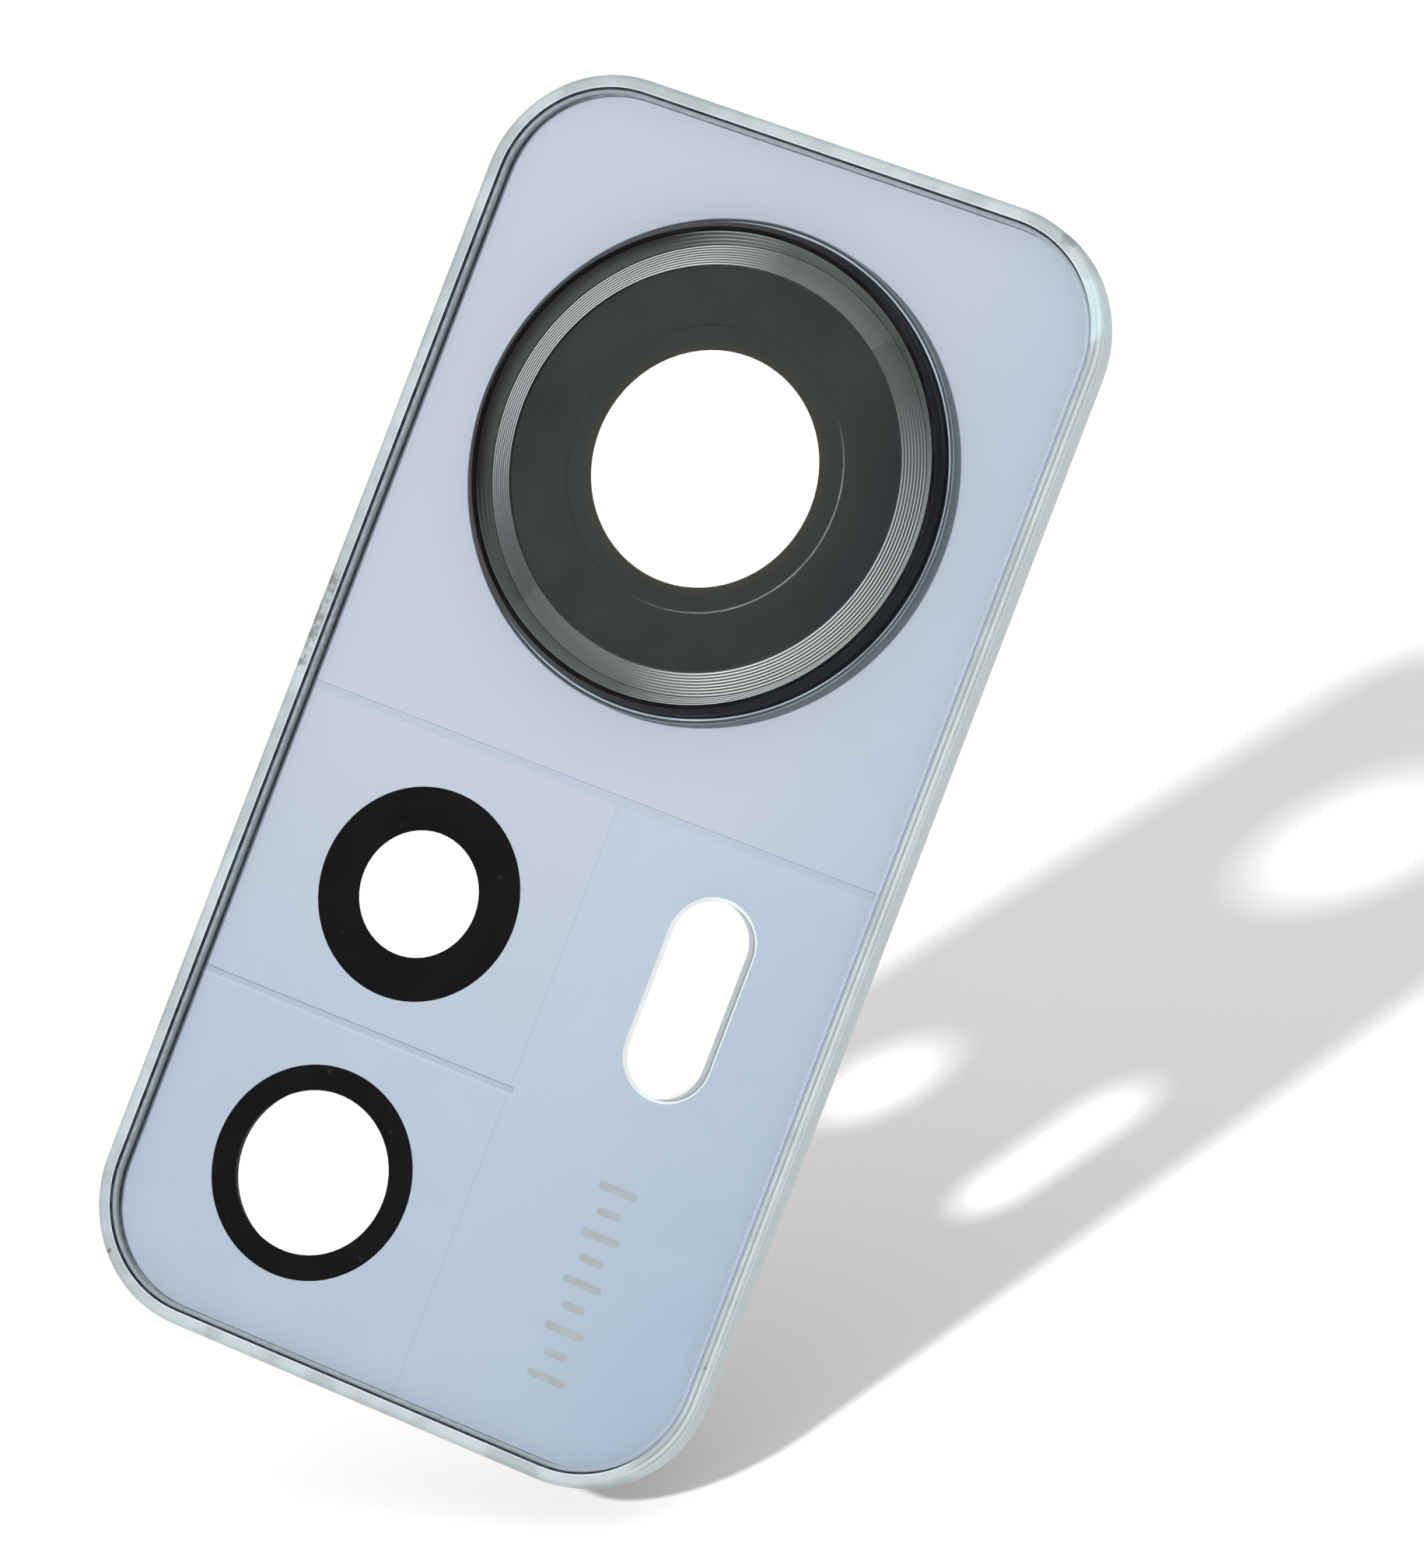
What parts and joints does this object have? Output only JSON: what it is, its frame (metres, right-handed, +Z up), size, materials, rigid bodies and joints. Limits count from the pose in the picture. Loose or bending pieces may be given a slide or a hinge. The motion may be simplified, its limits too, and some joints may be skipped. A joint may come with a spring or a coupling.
{
  "type": "phone rear-camera lens cover",
  "caption": "Clear rounded camera cover plate with a pale blue film, a raised black main-lens ring, small printed lens windows, a flash slot and a rear bonding face.",
  "frame": {"origin": "middle of the rear bonding face, which lies in the plane y = 0", "axes": "+Z up along the plate's length towards the main lens, +X across its width towards the flash slot, -Y out of its front face"},
  "size_m": [0.027, 0.0022, 0.0528],
  "materials": {
    "clear_plastic": "clear moulded acrylic, polished, rounded outer edge",
    "colour_film": "pale lilac-blue decorative film seen through the clear plate",
    "black_ink": "screen-printed opaque black",
    "grey_ink": "silver-grey screen print",
    "bond_tape": "black double-sided foam bonding tape",
    "white_liner": "white moulded liner, satin",
    "clear_adhesive": "cured structural adhesive",
    "seal_foam": "black closed-cell light-seal foam",
    "black_anodised": "black anodised aluminium with polished chamfers",
    "turned_anodised": "diamond-turned dark anodised aluminium with fine concentric grooves",
    "lens_glass": "clear polished cover glass"
  },
  "bodies": {
    "root": {"cover_plate": "clear_plastic", "decor_film": "colour_film", "backing_ink": "black_ink", "rear_bond_tape": "bond_tape", "upper_lens_ink_ring": "black_ink", "lower_lens_ink_ring": "black_ink", "upper_lens_foam": "seal_foam", "lower_lens_foam": "seal_foam", "flash_liner": "white_liner", "printed_mark": "grey_ink", "main_ring_body": "black_anodised", "main_ring_adhesive": "clear_adhesive", "main_ring_insert": "turned_anodised", "main_lens_foam": "seal_foam", "main_lens_glass": "lens_glass", "main_lens_mask": "black_ink", "main_lens_aperture_print": "black_ink", "main_lens_adhesive": "clear_adhesive"}
  },
  "joints": []
}
